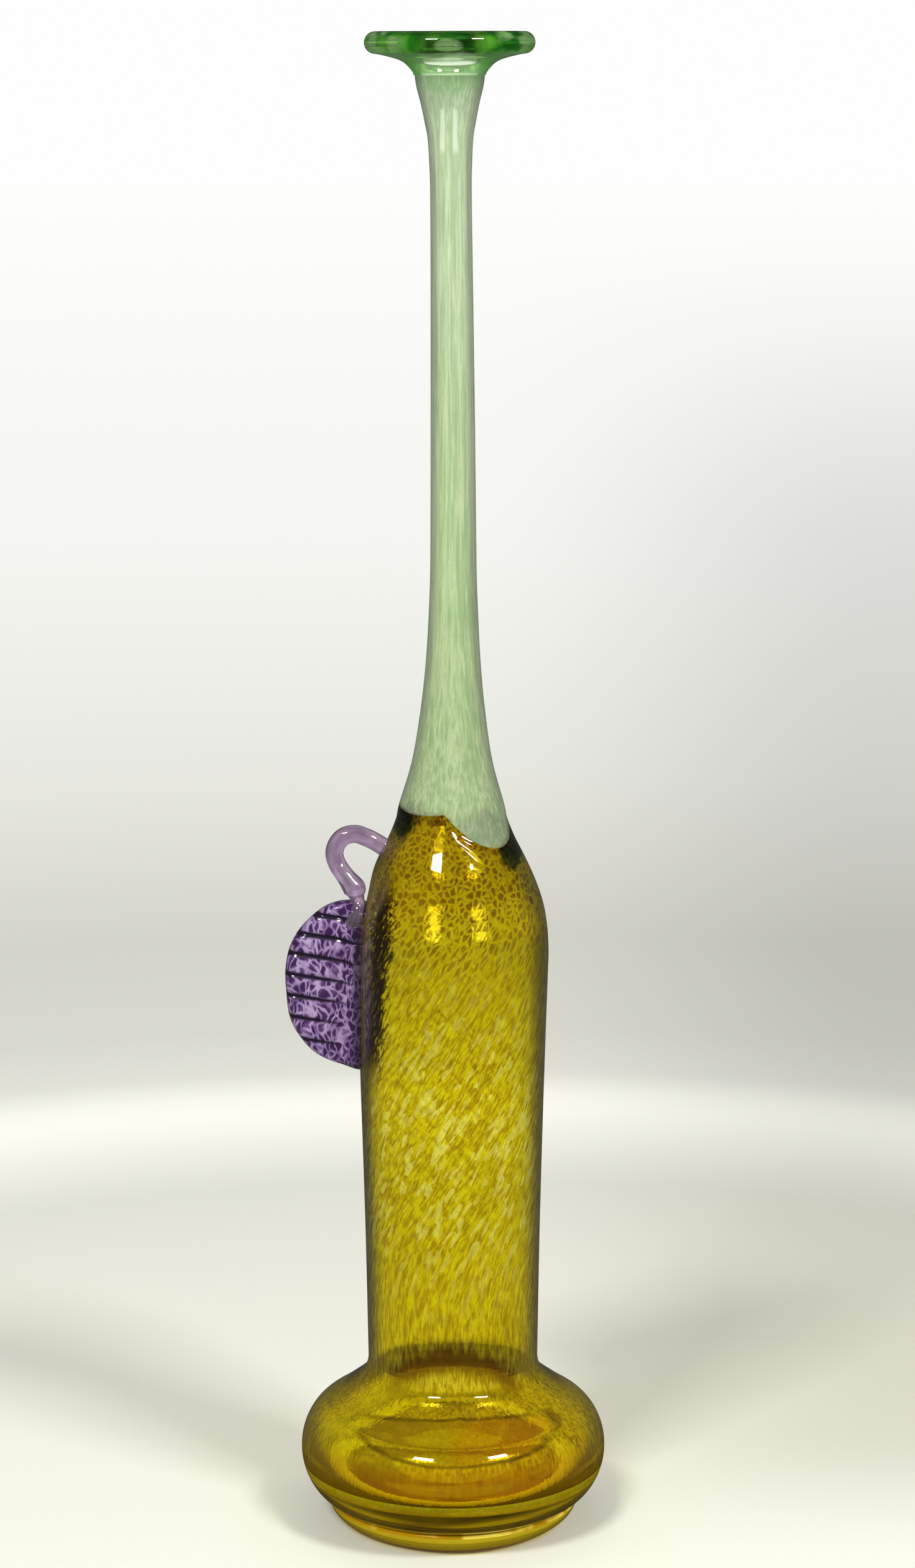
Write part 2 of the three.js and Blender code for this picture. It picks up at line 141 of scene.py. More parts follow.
def follow_join(points, weight):
    """Slides the rows near the join down the outline with its lobes."""
    x, y, z = points[..., 0], points[..., 1], points[..., 2]
    radius = np.maximum(np.hypot(x, y), 1e-6)
    share = np.clip(weight(z), 0, None)
    low = z - share * join_drop(np.arctan2(y, x))
    moved = np.where(share > 0, (radius + radius_at(low) - radius_at(z)) / radius, 1)
    return np.stack([x * moved, y * moved, np.where(share > 0, low, z)], -1)


LEAF_LOW = 109.9
LEAF_TALL = 40.4
LEAF_TOP = LEAF_LOW + LEAF_TALL

# The flat that the leaf presses into the wall, round the leaf's top
FLAT_DEPTH = 1.3
FLAT_HALF_ANGLE = 42
FLAT_BELOW = 46
FLAT_ABOVE = 11


def flat_at(angle, height):
    """How far the leaf presses the wall in."""
    away = math.pi - np.abs(np.arctan2(np.sin(angle), np.cos(angle)))
    along = (height - LEAF_TOP) / np.where(height < LEAF_TOP, FLAT_BELOW, FLAT_ABOVE)
    half = math.radians(FLAT_HALF_ANGLE)
    inside = (away < half) & (np.abs(along) < 1)
    across = (1 + np.cos(math.pi * np.minimum(away / half, 1))) / 2
    up = (1 + np.cos(math.pi * np.clip(along, -1, 1))) / 2
    return np.where(inside, FLAT_DEPTH * across * up, 0)


def press_flat(points):
    x, y, z = points[..., 0], points[..., 1], points[..., 2]
    radius = np.maximum(np.hypot(x, y), 1e-6)
    kept = 1 - flat_at(np.arctan2(y, x), z) / radius
    return np.stack([x * kept, y * kept, z], -1)


# Raised cords below the join, as stops of side, height and thickness
CORDS = [
    [(-1.1, 172.6, 0.1), (-0.6, 170.6, 0.3), (1.2, 167.6, 0.34), (3.8, 165.2, 0.34),
     (6.6, 162.8, 0.3)],
    [(1.9, 168.4, 0.2), (4.2, 167.0, 0.28), (6.6, 166.0, 0.1)],
]
CORD_HALF = 0.5


def corded(points):
    """Raises the cords on the front of the shoulder."""
    x, y, z = points[..., 0], points[..., 1], points[..., 2]
    raised = np.zeros_like(x)
    for stops in CORDS:
        for side, height, thickness in through(stops, 60):
            away = np.hypot(x - side, z - height) / CORD_HALF
            raised = np.maximum(raised, np.where(y < 0, thickness * np.exp(-away ** 2), 0))
    grown = 1 + raised / np.maximum(np.hypot(x, y), 1e-6)
    return np.stack([x * grown, y * grown, z], -1)


BOW = 0.56
BOW_HEIGHT = 229


def bowed(points):
    """Bends the neck slightly to one side."""
    z = points[..., 2]
    end = np.where(z < BOW_HEIGHT, JOIN[1], NECK_TOP[1])
    share = np.clip((z - end) / (BOW_HEIGHT - end), 0, 1)
    out = points.copy()
    out[..., 0] += BOW * np.sin(math.pi / 2 * share)
    return out


# Meshes ---------------------------------------------------------------------------------------

def turned(outline):
    """Rows of points round the axis, one row for each place of the outline."""
    angles = np.linspace(0, 2 * math.pi, TURNS, endpoint=False)
    outline = np.asarray(outline, float)
    return np.stack([outline[:, :1] * np.cos(angles), outline[:, :1] * np.sin(angles),
                     np.repeat(outline[:, 1:], TURNS, 1)], -1)


def shell(name, rows, bands, finishes, looped=False):
    """Closed shell from rows of points. A band is the finish between a row and the next."""
    count, around = rows.shape[:2]
    points, index = [], []
    for row in rows:
        if np.hypot(row[:, 0], row[:, 1]).max() < 1e-6:
            index.append(np.full(around, len(points)))
            points.append(row[0])
        else:
            index.append(np.arange(len(points), len(points) + around))
            points.extend(row)
    faces, slots = [], []
    for low in range(count if looped else count - 1):
        high = (low + 1) % count
        for j in range(around):
            k = (j + 1) % around
            corners = [index[low][j], index[low][k], index[high][k], index[high][j]]
            faces.append(list(dict.fromkeys(int(c) for c in corners)))
            slots.append(bands[low])
    return piece(name, np.array(points), faces, finishes, slots)


def piece(name, points, faces, finishes, slots=None):
    """Mesh piece from points in millimetres. Edges between two finishes stay sharp."""
    mesh = bpy.data.meshes.new(name)
    mesh.from_pydata((points * MM).tolist(), [], faces)
    for finish in finishes:
        mesh.materials.append(finish)
    if slots is not None:
        mesh.polygons.foreach_set("material_index", slots)
    mesh.shade_smooth()
    meets = {}
    for face in mesh.polygons:
        for edge in face.edge_keys:
            meets.setdefault(edge, set()).add(face.material_index)
    for edge in mesh.edges:
        edge.use_edge_sharp = len(meets[edge.key]) > 1
    made = bpy.data.objects.new(name, mesh)
    bpy.context.collection.objects.link(made)
    return made


def grain(made, place):
    """Stores the coordinates that a pattern follows, in millimetres."""
    mesh = made.data
    flat = np.zeros(len(mesh.vertices) * 3)
    mesh.vertices.foreach_get("co", flat)
    attribute = mesh.attributes.new("grain", "FLOAT_VECTOR", "POINT")
    attribute.data.foreach_set("vector", place(flat.reshape(-1, 3) / MM).ravel())


# Finishes -------------------------------------------------------------------------------------

class Value:
    """A socket in a finish, so that maths on it reads as a plain expression."""

    def __init__(self, finish, socket):
        self.finish = finish
        self.socket = socket

    def __add__(self, other):
        return self.finish.maths("ADD", self, other)

    __radd__ = __add__

    def __sub__(self, other):
        return self.finish.maths("SUBTRACT", self, other)

    def __rsub__(self, other):
        return self.finish.maths("SUBTRACT", other, self)

    def __mul__(self, other):
        return self.finish.maths("MULTIPLY", self, other)

    __rmul__ = __mul__

    def __truediv__(self, other):
        return self.finish.maths("DIVIDE", self, other)

    def __abs__(self):
        return self.finish.maths("ABSOLUTE", self)


class Finish:
    """The nodes of a material or of the world."""

    def __init__(self, owner):
        self.owner = owner
        owner.use_nodes = True
        self.tree = owner.node_tree
        self.tree.nodes.clear()

    def add(self, kind, settings, inputs, output=0):
        """Adds a node: its settings first, then the values or links of its sockets."""
        node = self.tree.nodes.new(kind)
        for key, value in settings.items():
            setattr(node, key, value)
        for key, value in inputs.items():
            if isinstance(value, Value):
                self.tree.links.new(value.socket, node.inputs[key])
            elif node.inputs[key].type == "RGBA":
                node.inputs[key].default_value = (*value, 1)
            else:
                node.inputs[key].default_value = value
        return Value(self, node.outputs[output])

    def maths(self, operation, *values):
        return self.add("ShaderNodeMath", {"operation": operation}, dict(enumerate(values)))

    def vector(self, operation, inputs, output=0):
        return self.add("ShaderNodeVectorMath", {"operation": operation}, inputs, output)

    def along_grain(self):
        return self.add("ShaderNodeAttribute", {"attribute_name": "grain"}, {}, "Vector")

    def place(self):
        return self.add("ShaderNodeTexCoord", {}, {}, "Object")

    def part(self, vector, axis):
        return self.add("ShaderNodeSeparateXYZ", {}, {0: vector}, axis)

    def stretched(self, vector, by):
        return self.vector("MULTIPLY", {0: vector, 1: by})

    def shifted(self, vector, by, amount):
        """Moves the coordinates by a coloured noise, to make the lines of a pattern wander."""
        return self.vector("ADD", {0: vector, 1: self.vector("SCALE", {0: by, 3: amount})})

    def length(self, vector):
        return self.vector("LENGTH", {0: vector}, 1)

    def oval(self, place, centre, reach):
        """Distance from the centre, as a share of the reach along each axis."""
        away = self.vector("SUBTRACT", {0: place, 1: centre})
        return self.length(self.stretched(away, tuple(1 / r for r in reach)))

    def noise(self, vector, scale, detail=2, rough=0.5, output="Fac"):
        return self.add("ShaderNodeTexNoise", {}, {
            "Vector": vector, "Scale": scale, "Detail": detail, "Roughness": rough}, output)

    def cells(self, vector, scale, feature, output=0):
        return self.add("ShaderNodeTexVoronoi", {"feature": feature},
                        {"Vector": vector, "Scale": scale}, output)

    def rise(self, value, low, high):
        """Soft step from 0 at low to 1 at high."""
        return self.add("ShaderNodeMapRange", {"interpolation_type": "SMOOTHSTEP"},
                        {0: value, 1: low, 2: high})

    def fall(self, value, low, high):
        return 1 - self.rise(value, low, high)

    def near(self, value, middle, inner, outer):
        """1 within the inner distance of the middle, 0 beyond the outer one."""
        return self.fall(abs(value - middle), inner, outer)

    def limited(self, value):
        return self.add("ShaderNodeClamp", {}, {0: value})

    def blend(self, share, first, second):
        return self.add("ShaderNodeMix", {"data_type": "RGBA"}, {0: share, 6: first, 7: second}, 2)

    def bump(self, height, distance, strength):
        return self.add("ShaderNodeBump", {}, {
            "Height": height, "Distance": distance, "Strength": strength})

    def ray(self, name):
        return self.add("ShaderNodeLightPath", {}, {}, name)

    def either(self, share, first, second):
        return self.add("ShaderNodeMixShader", {}, {0: share, 1: first, 2: second})

    def done(self, surface, volume=None, kind="ShaderNodeOutputMaterial"):
        output = self.tree.nodes.new(kind)
        self.tree.links.new(surface.socket, output.inputs["Surface"])
        if volume is not None:
            self.tree.links.new(volume.socket, output.inputs["Volume"])
        return self.owner

    def glass(self, settings, lamp_tint, absorbs=None):
        """Glass that lets the lamps through to what lies behind it."""
        solid = self.add("ShaderNodeBsdfPrincipled", {}, {"IOR": 1.5, **settings}, "BSDF")
        clear = self.add("ShaderNodeBsdfTransparent", {}, {"Color": lamp_tint})
        surface = self.either(self.ray("Is Shadow Ray"), solid, clear)
        volume = None
        if absorbs is not None:
            colour, density = absorbs
            volume = self.add("ShaderNodeVolumeAbsorption", {},
                              {"Color": colour, "Density": density})
        return self.done(surface, volume)


def new_finish(name):
    return Finish(bpy.data.materials.new(name))


def on_front(finish, place):
    """1 on the front of the bulge and of the waist."""
    return finish.fall(finish.part(place, 1), -0.014, -0.006)


def neck_casing():
    finish = new_finish("neck_casing")
    waves = finish.noise(finish.place(), 55)
    return finish.glass({
        "Base Color": (0.82, 0.88, 0.74), "Roughness": 0.0, "Transmission Weight": 0.88,
        "Normal": finish.bump(waves, 0.0002, 0.3),
    }, (0.98, 0.98, 0.97), ((0.80, 0.92, 0.70), 20))


def body_casing():
    """Clear casing, warmer at the bulge and the shoulder, with painted shade at its left and right
    edges and dark green painted shade beside the join.
    """
    finish = new_finish("body_casing")
    place = finish.place()
    height = finish.part(place, 2)
    # Painted shade: dark grey at the left and right edges of the wall, where the glass looks dark
    painted_edge_shade = finish.rise(abs(finish.part(place, 0)), 0.0175, 0.0205)
    colour = finish.blend(painted_edge_shade * 0.85, (0.90, 0.91, 0.76), (0.26, 0.25, 0.14))
    colour = finish.blend(finish.fall(height, 0.034, 0.046), colour, (0.82, 0.74, 0.20))
    colour = finish.blend(finish.rise(height, 0.138, 0.160), colour, (0.72, 0.60, 0.14))

    # Dark green painted shade at the edges of the shoulder on both sides of the join
    patch_reach = (0.0036, 0.02, 0.0055)
    left = finish.oval(place, (-0.0118, -0.005, 0.1720), patch_reach)
    right = finish.oval(place, (0.0140, -0.006, 0.1650), patch_reach)
    patches = finish.maths("MINIMUM", left, right) + finish.noise(place, 400) * 0.5
    colour = finish.blend(finish.fall(patches, 1.0, 1.2), colour, (0.012, 0.026, 0.004))

    waves = finish.noise(place, 55)
    ripples = finish.noise(place, 300) * finish.rise(height, 0.14, 0.155)
    return finish.glass({
        "Base Color": colour, "Roughness": 0.0, "Transmission Weight": 1.0,
        "Normal": finish.bump(waves + ripples * 0.08, 0.0002, 0.3),
    }, (0.98, 0.98, 0.97), ((0.97, 0.94, 0.5), 40))


def amber_frit():
    """The coloured layer of the body, with what its bulge, waist and leaf add to it."""
    finish = new_finish("amber_frit")
    along = finish.along_grain()
    place = finish.place()
    course = finish.shifted(along, finish.noise(along, 0.5, output="Color"), 1.0)
    streaks = finish.noise(course, 1.15, 3, 0.62)
    threads = finish.noise(finish.stretched(course, (1, 1, 0.5)), 2.4, 2, 0.55)
    web = finish.fall(finish.cells(course, 0.72, "DISTANCE_TO_EDGE"), 0.02, 0.3)
    colour = frit_colour(finish, along, course, place, streaks, threads, web)
    colour = waist_marks(finish, colour, place, streaks, threads)
    colour = bulge_marks(finish, colour, place, threads)
    colour = leaf_root(finish, colour, place, streaks, threads)
    return finish.glass({
        "Base Color": colour, "Roughness": 0.06, "Transmission Weight": 0.78,
        "Specular IOR Level": 1.0, "Specular Tint": (1, 0.83, 0.04),
        "Normal": finish.bump(streaks + web * 0.4, 0.00004, 0.6),
    }, (0.22, 0.2, 0.1))


def frit_colour(finish, along, course, place, streaks, threads, web):
    """Long streaks on the wall, a web of veins on the shoulder, and cream flecks between."""
    height = finish.part(place, 2)
    shoulder = finish.rise(height, 0.125, 0.15)
    wall_share = finish.rise(streaks * 0.65 + threads * 0.45, 0.43, 0.66)
    web_share = finish.rise(web * 0.55 + streaks * 0.7, 0.38, 0.92)
    amber = finish.blend(shoulder, (0.43, 0.29, 0.0005), (0.21, 0.10, 0.0003))
    broad = finish.rise(finish.noise(along, 0.1), 0.42, 0.66)
    amber = finish.blend(broad * 0.6, amber, (0.38, 0.20, 0.0005))
    yellow = finish.blend(shoulder, (0.87, 0.77, 0.002), (0.64, 0.57, 0.002))
    colour = finish.blend(mixed(wall_share, web_share, shoulder), amber, yellow)

    flecks = finish.part(finish.cells(course, 1.0, "F1", "Color"), 0)
    chosen = finish.rise(flecks + finish.noise(along, 0.16) * 0.7, 1.06, 1.18)
    half_way = finish.rise(height, 0.05, 0.085) * finish.fall(height, 0.105, 0.145)
    return finish.blend(chosen * (half_way * 0.75 + 0.06), colour, (1.0, 0.98, 0.32))


def waist_marks(finish, colour, place, streaks, threads):
    """Painted shade: dark brown round the far side of the flank, and a brown arch over bright
    streaks in front.
    """
    side, deep, height = (finish.part(place, axis) for axis in range(3))
    front = on_front(finish, place)
    # Painted shade: the far side of the flank darkened, as the glass looks where it is seen through
    # at a slant
    flank = finish.rise(height, 0.028, 0.031) * finish.fall(height, 0.036, 0.040)
    far_side_shade = finish.rise(deep, -0.002, 0.008)
    colour = finish.blend(flank * far_side_shade * 0.95, colour, (0.08, 0.03, 0.0002))
    # Painted shade: a brown arch in front, where the darkened far side of the flank shows through
    bend = height + side * side * 38 + (streaks - 0.5) * 0.007
    painted_shade_arch = finish.near(bend, 0.0455, 0.0012, 0.0054) * front * finish.near(side, 0, 0.013, 0.017)
    colour = finish.blend(painted_shade_arch * 0.9, colour, (0.17, 0.06, 0.0003))
    bright = finish.rise(height, 0.0365, 0.0385) * finish.fall(height, 0.041, 0.0445)
    bright = bright * front * (1 - painted_shade_arch)
    bright = bright * finish.rise(threads * 0.6 + streaks * 0.4, 0.42, 0.6)
    return finish.blend(bright * 0.8, colour, (1.0, 0.96, 0.12))


def bulge_marks(finish, colour, place, threads):
    """The front of the bulge: an uneven dark line of painted shade round clear orange and olive
    glass, and painted shade on the slope of the hollow.
    """
    side, height = finish.part(place, 0), finish.part(place, 2)
    front = on_front(finish, place)
    clouds = finish.noise(place, 60)
    ragged = finish.noise(place, 150)
    low = finish.fall(height, 0.036, 0.042)
    left = finish.fall(side, -0.02, 0.0)
    colour = finish.blend(low * left * front * 0.5, colour, (0.60, 0.66, 0.002))

    oval = finish.oval(place, (0.0007, -0.03, 0.0276), (0.0222, 0.4, 0.0042))
    oval = oval + (clouds - 0.5) * 0.35 + (ragged - 0.5) * 0.15
    mottle = finish.rise(threads * 0.5 + clouds * 0.5, 0.38, 0.6)
    warm = finish.rise(side + (clouds - 0.5) * 0.04, 0.001, 0.010)
    inner = finish.blend(warm, (0.46, 0.37, 0.0006), (0.66, 0.28, 0.0005))
    inner = finish.blend(mottle * 0.5, inner, (0.30, 0.20, 0.0008))
    pool = finish.fall(oval, 0.8, 1.05) * front
    colour = finish.blend(pool * 0.72, colour, inner)

    below = finish.fall(height, 0.019, 0.0245) * front * (1 - pool)
    brown = finish.blend(mottle * 0.6, (0.72, 0.38, 0.0006), (0.42, 0.20, 0.0004))
    colour = finish.blend(below * 0.75, colour, brown)
    olive = finish.near(height, 0.0357, 0.0008, 0.0022) * front
    olive = olive * finish.near(side, 0, 0.009, 0.017)
    colour = finish.blend(olive * 0.6, colour, (0.28, 0.24, 0.001))
    # Painted shade: an uneven dark line that stands for the edge of the hollow's floor seen through
    # the bulge
    ring = finish.near(oval, 1, 0.01, 0.13) * front * low * finish.rise(ragged, 0.32, 0.5)
    colour = finish.blend(ring * 0.85, colour, (0.14, 0.08, 0.001))

    # Painted shade on the slope from the floor of the hollow to its trough, dimming the bright
    # background seen through it
    across = finish.length(finish.stretched(place, (1, 1, 0)))
    slope = finish.rise(across, 0.0215, 0.0228) * finish.fall(height, 0.0158, 0.0172)
    return finish.blend(slope * 0.6, colour, (0.40, 0.26, 0.0006))


def leaf_root(finish, colour, place, streaks, threads):
    """The leaf's dark root, drawn into the wall beside it."""
    height = finish.part(place, 2)
    lean = (0.155 - height) * 0.09 + (streaks - 0.5) * 0.008
    root = finish.near(finish.part(place, 0) + lean, -0.0146, 0.0014, 0.003)
    root = root * finish.fall(finish.part(place, 1), -0.008, -0.004)
    root = root * finish.rise(height, 0.105, 0.118) * finish.fall(height, 0.152, 0.162)
    root = root * finish.rise(streaks * 0.5 + threads * 0.5, 0.3, 0.46)
    return finish.blend(root, colour, (0.002, 0.0004, 0.0008))


def frit_edge():
    """Dense frit at the lower edge of the hollow, where it gleams yellow."""
    finish = new_finish("frit_edge")
    streaks = finish.rise(finish.noise(finish.along_grain(), 1.0, 3, 0.6), 0.35, 0.65)
    return finish.glass({
        "Base Color": finish.blend(streaks, (0.84, 0.88, 0.01), (0.97, 1.0, 0.16)),
        "Roughness": 0.2, "Transmission Weight": 0.1, "Specular Tint": (1, 0.83, 0.2),
    }, (0.92, 0.88, 0.6))


def amber_heel():
    """Solid amber under the hollow, with darker bands round it."""
    finish = new_finish("amber_heel")
    place = finish.place()
    bands = finish.noise(finish.stretched(place, (0.06, 0.06, 1)), 480)
    share = finish.rise(bands * 0.8 + finish.noise(place, 60) * 0.2, 0.36, 0.64)
    return finish.glass({
        "Base Color": finish.blend(share, (0.08, 0.035, 0.0004), (0.55, 0.38, 0.001)),
        "Roughness": 0.09, "Transmission Weight": 0.8, "Coat Weight": 1.0, "Coat Roughness": 0.0,
    }, (0.96, 0.94, 0.8), ((0.93, 0.92, 0.72), 40))


def crease_gold():
    """Bright line in the fold between the foot and the bulge, with painted glints along it."""
    finish = new_finish("crease_gold")
    # Painted glints: bright gold patches along the rim, besides the lamps' own highlights on it
    painted_glint = finish.rise(finish.noise(finish.place(), 90, 2, 0.6), 0.5, 0.62)
    return finish.glass({
        "Base Color": finish.blend(painted_glint, (0.50, 0.27, 0.003), (1.0, 0.80, 0.12)),
        "Roughness": 0.1, "Transmission Weight": 0.1,
    }, (0.96, 0.94, 0.8), ((0.96, 0.88, 0.1), 120))


def foot_amber():
    finish = new_finish("foot_amber")
    place = finish.place()
    clouds = finish.noise(place, 120)
    return finish.glass({
        "Base Color": finish.blend(clouds, (0.58, 0.41, 0.002), (0.70, 0.54, 0.004)),
        "Roughness": 0.2, "Transmission Weight": 0.6, "Coat Weight": 1.0, "Coat Roughness": 0.0,
        "Normal": finish.bump(finish.noise(place, 60, 1), 0.0002, 0.3),
    }, (0.96, 0.94, 0.8), ((0.96, 0.9, 0.3), 60))


def milky_green():
    """Milky green in fine upright streaks, paler above, with two painted highlights as pale lines
    under the lip.
    """
    finish = new_finish("milky_green")
    along = finish.along_grain()
    place = finish.place()
    side, deep, height = (finish.part(place, axis) for axis in range(3))
    streaks = finish.noise(along, 1.6, 4, 0.65)
    upper = finish.rise(height, 0.19, 0.33)
    pale = finish.blend(upper, (0.62, 0.70, 0.43), (0.71, 0.76, 0.62))
    deeper = finish.blend(upper, (0.28, 0.43, 0.16), (0.38, 0.50, 0.30))
    share = finish.rise(streaks * 0.75 + finish.noise(along, 0.25) * 0.25, 0.40, 0.60)
    colour = finish.blend(share, deeper, pale)
    # Two painted highlights: pale upright lines on the front under the lip
    painted_highlights = finish.near(abs(side + 0.0002), 0.0013, 0.0003, 0.0006) * finish.fall(deep, -0.001, 0)
    painted_highlights = painted_highlights * finish.rise(height, 0.3225, 0.3245) * finish.fall(height, 0.3325, 0.3335)
    colour = finish.blend(painted_highlights, colour, (1, 1, 1))
    return finish.glass({
        "Base Color": colour, "Roughness": 0.13, "Transmission Weight": 0.68,
        "Normal": finish.bump(streaks, 0.00002, 0.4),
    }, (0.72, 0.8, 0.62))


def emerald():
    """Deep green in the disc, paler in the funnel under it, with painted shade in the disc's middle
    and top rim and a pale spot of painted light in the middle.
    """
    finish = new_finish("emerald")
    place = finish.place()
    side = abs(finish.part(place, 0))
    height = finish.part(place, 2)
    swirl = finish.noise(finish.stretched(place, (1, 1, 0.4)), 130)
    wisps = finish.noise(finish.stretched(place, (1, 1, 2.5)), 160)
    wisps = finish.rise(wisps, 0.44, 0.58) * finish.rise(side, 0.009, 0.013)
    clear = finish.rise(side, 0.005, 0.0085)
    funnel = finish.blend(clear * 0.8, (0.93, 0.99, 0.82), (0.20, 0.72, 0.07))
    deep = finish.blend(finish.rise(swirl, 0.4, 0.6), (0.02, 0.25, 0.01), (0.34, 0.88, 0.10))
    # Painted shade darkens the middle of the disc and its top rim
    painted_shade_middle = finish.fall(side + (swirl - 0.5) * 0.006, 0.0055, 0.0075)
    rim = finish.rise(height, 0.3486, 0.3494)
    painted_shade_mask = finish.maths("MAXIMUM", painted_shade_middle * 0.85, rim * 0.7)
    deep = finish.blend(painted_shade_mask, deep, (0.002, 0.035, 0.002))
    deep = finish.blend(wisps * 0.9, deep, (0.72, 0.96, 0.52))
    # A pale spot of painted light in the dark middle, where the bright background shows through the
    # disc
    spot = finish.oval(place, (-0.0006, -0.02, 0.3468), (0.0034, 1, 0.0014)) + (swirl - 0.5) * 0.8
    deep = finish.blend(finish.fall(spot, 0.7, 1.1), deep, (0.40, 0.55, 0.28))
    disc = finish.rise(height + (swirl - 0.5) * 0.004, 0.3438, 0.3456)
    return finish.glass({
        "Base Color": finish.blend(disc, funnel, deep),
        "Roughness": 0.01, "Transmission Weight": 0.84,
        "Normal": finish.bump(finish.noise(place, 70, 1), 0.0006, 0.5),
    }, (0.5, 0.8, 0.5), ((0.5, 0.85, 0.4), 25))


def leaf_purple():
    """A light web over dark purple, with painted shade in the grooves and beside the wall."""
    finish = new_finish("leaf_purple")
    place = finish.place()
    groove = finish.part(finish.along_grain(), 2)
    course = finish.shifted(place, finish.noise(place, 160, output="Color"), 0.006)
    web = finish.cells(finish.stretched(course, (1, 1, 0.6)), 640, "DISTANCE_TO_EDGE")
    speckle = finish.noise(finish.stretched(course, (1, 1, 0.35)), 620)
    patches = finish.noise(place, 110)
    share = finish.fall(web, 0.02, 0.28) * 0.6 + speckle * 1.2 + patches * 0.5
    share = finish.rise(share, 0.8, 1.75)
    colour = finish.blend(share * 2, (0.04, 0.01, 0.07), (0.17, 0.09, 0.24))
    colour = finish.blend(share * 2 - 1, colour, (0.42, 0.31, 0.51))
    # Painted shade beside the wall and in the grooves
    shade = finish.rise(finish.part(place, 0), -0.0242, -0.0222) * 0.8
    shade = finish.maths("MAXIMUM", shade, finish.rise(groove, 0.12, 0.55))
    return finish.done(finish.add("ShaderNodeBsdfPrincipled", {}, {
        "Base Color": finish.blend(shade, colour, (0.012, 0.004, 0.02)),
        "Roughness": 0.2, "IOR": 1.5, "Coat Weight": 1.0, "Coat Roughness": 0.0,
    }, "BSDF"))


def tendril_lavender():
    finish = new_finish("tendril_lavender")
    streaks = finish.rise(finish.noise(finish.along_grain(), 1.2, 3, 0.6), 0.3, 0.7)
    return finish.glass({
        "Base Color": finish.blend(streaks, (0.30, 0.20, 0.32), (0.57, 0.47, 0.58)),
        "Roughness": 0.04, "Transmission Weight": 0.78, "Coat Weight": 1.0, "Coat Roughness": 0.02,
    }, (0.72, 0.62, 0.76), ((0.62, 0.45, 0.66), 110))


def fused_seam():
    """Faces where two gathers are fused, which light passes without a trace."""
    finish = new_finish("fused_seam")
    return finish.done(finish.add("ShaderNodeBsdfTransparent", {}, {"Color": (1, 1, 1)}))


# Foot and body --------------------------------------------------------------------------------

FUSED = fused_seam()

FOOT_RADIUS = 29.6
FOOT_CONTACT = 23.2
FOOT_EDGE_ANGLE = 60
FOOT_WIDEST = 5.4
FOOT_RIM = 5.6
FOOT_ROUNDING = (0.4, 0.44)
FOOT_TOP = 6.05
FUSED_RADIUS = 14

# The bulge is a ring with an oval section. Below the heel its casing is solid amber
RING = (26, 18.2)
RING_REACH = (10.2, 12.6)
RING_END = 68
HEEL = 12.5

# The hollow: a ring shaped trough round the raised floor, bright beyond and below the gleam
TROUGH = (26.5, 19.55)
TROUGH_REACH = (6, 7.55)
FLOOR_EDGE = (22.5, 15.5)
FLOOR_SLOPE = [(0.25, 0.05), (0.5, 0.22), (0.78, 0.75)]
INNER_WAIST = (18.5, 40)
GLEAM = (26.4, 14.6)

# The wall gathers from one height on over a short way, and once more towards the join
BODY_WALL = 1.6
GATHER_LOW = 145
GATHER_TALL = 8.5
GATHER_RATE, GATHER_SLOWING = 0.275, 0.0078
JOIN_GATHER_LOW = 158
JOIN_GATHER = 0.8


def make_foot():
    """The foot, with a rounded side and a rim in the fold under the bulge that takes the lamps'
    highlights and painted glints.
    """
    lean = math.radians(FOOT_EDGE_ANGLE)
    reach = (FOOT_RADIUS - FOOT_CONTACT) / (1 - math.cos(lean))
    side = arc((FOOT_RADIUS - reach, FOOT_WIDEST), (reach, FOOT_WIDEST / math.sin(lean)),
               -FOOT_EDGE_ANGLE, -1, 24)
    rim = arc((FOOT_RADIUS - FOOT_ROUNDING[0], FOOT_RIM), FOOT_ROUNDING, 0, 85, 8)
    top = FOOT_TOP - SEAM
    flat = [(radius, 0) for radius in FLAT_STOPS]
    outline = [*flat, *side, *rim, (FUSED_RADIUS, top), (0, top)]
    bands = [0] * (len(outline) - 3) + [1, 1]
    for i in range(len(side) + 2, len(side) + len(rim) + 3):
        bands[i] = 2
    return shell("foot_glass", turned(outline), bands, [foot_amber(), FUSED, crease_gold()])


def bulge_outline():
    floor = FOOT_TOP + SEAM
    start = -math.degrees(math.asin((RING[1] - floor) / RING_REACH[1]))
    ring = arc(RING, RING_REACH, start, RING_END, 56)
    flank = through([ring[-1], *between(ring[-1], WAIST, FLANK), WAIST], 30)
    return [*ring, *map(tuple, flank[1:])]


def cavity_outline():
    """From the waist down the flank, round the trough and up to the raised floor."""
    ring = arc(TROUGH, TROUGH_REACH, -90, RING_END, 50)
    flank = through([ring[-1], *between(ring[-1], INNER_WAIST, FLANK), INNER_WAIST], 30)
    slope = [FLOOR_EDGE, *between(FLOOR_EDGE, ring[0], FLOOR_SLOPE), ring[0]]
    upwards = [*map(tuple, through(slope, 24)[:-1]), *ring, *map(tuple, flank[1:])]
    return upwards[::-1] + [(radius, FLOOR_EDGE[1]) for radius in FLAT_STOPS[::-1]]


def body_wall(height):
    """Thickness of the body's wall, which gathers quickly above the belly."""
    above = np.clip(height - GATHER_LOW, 0, GATHER_TALL)
    return (BODY_WALL + above * (GATHER_RATE - GATHER_SLOWING * above)
            + JOIN_GATHER * smooth(height, JOIN_GATHER_LOW, JOIN[1]))


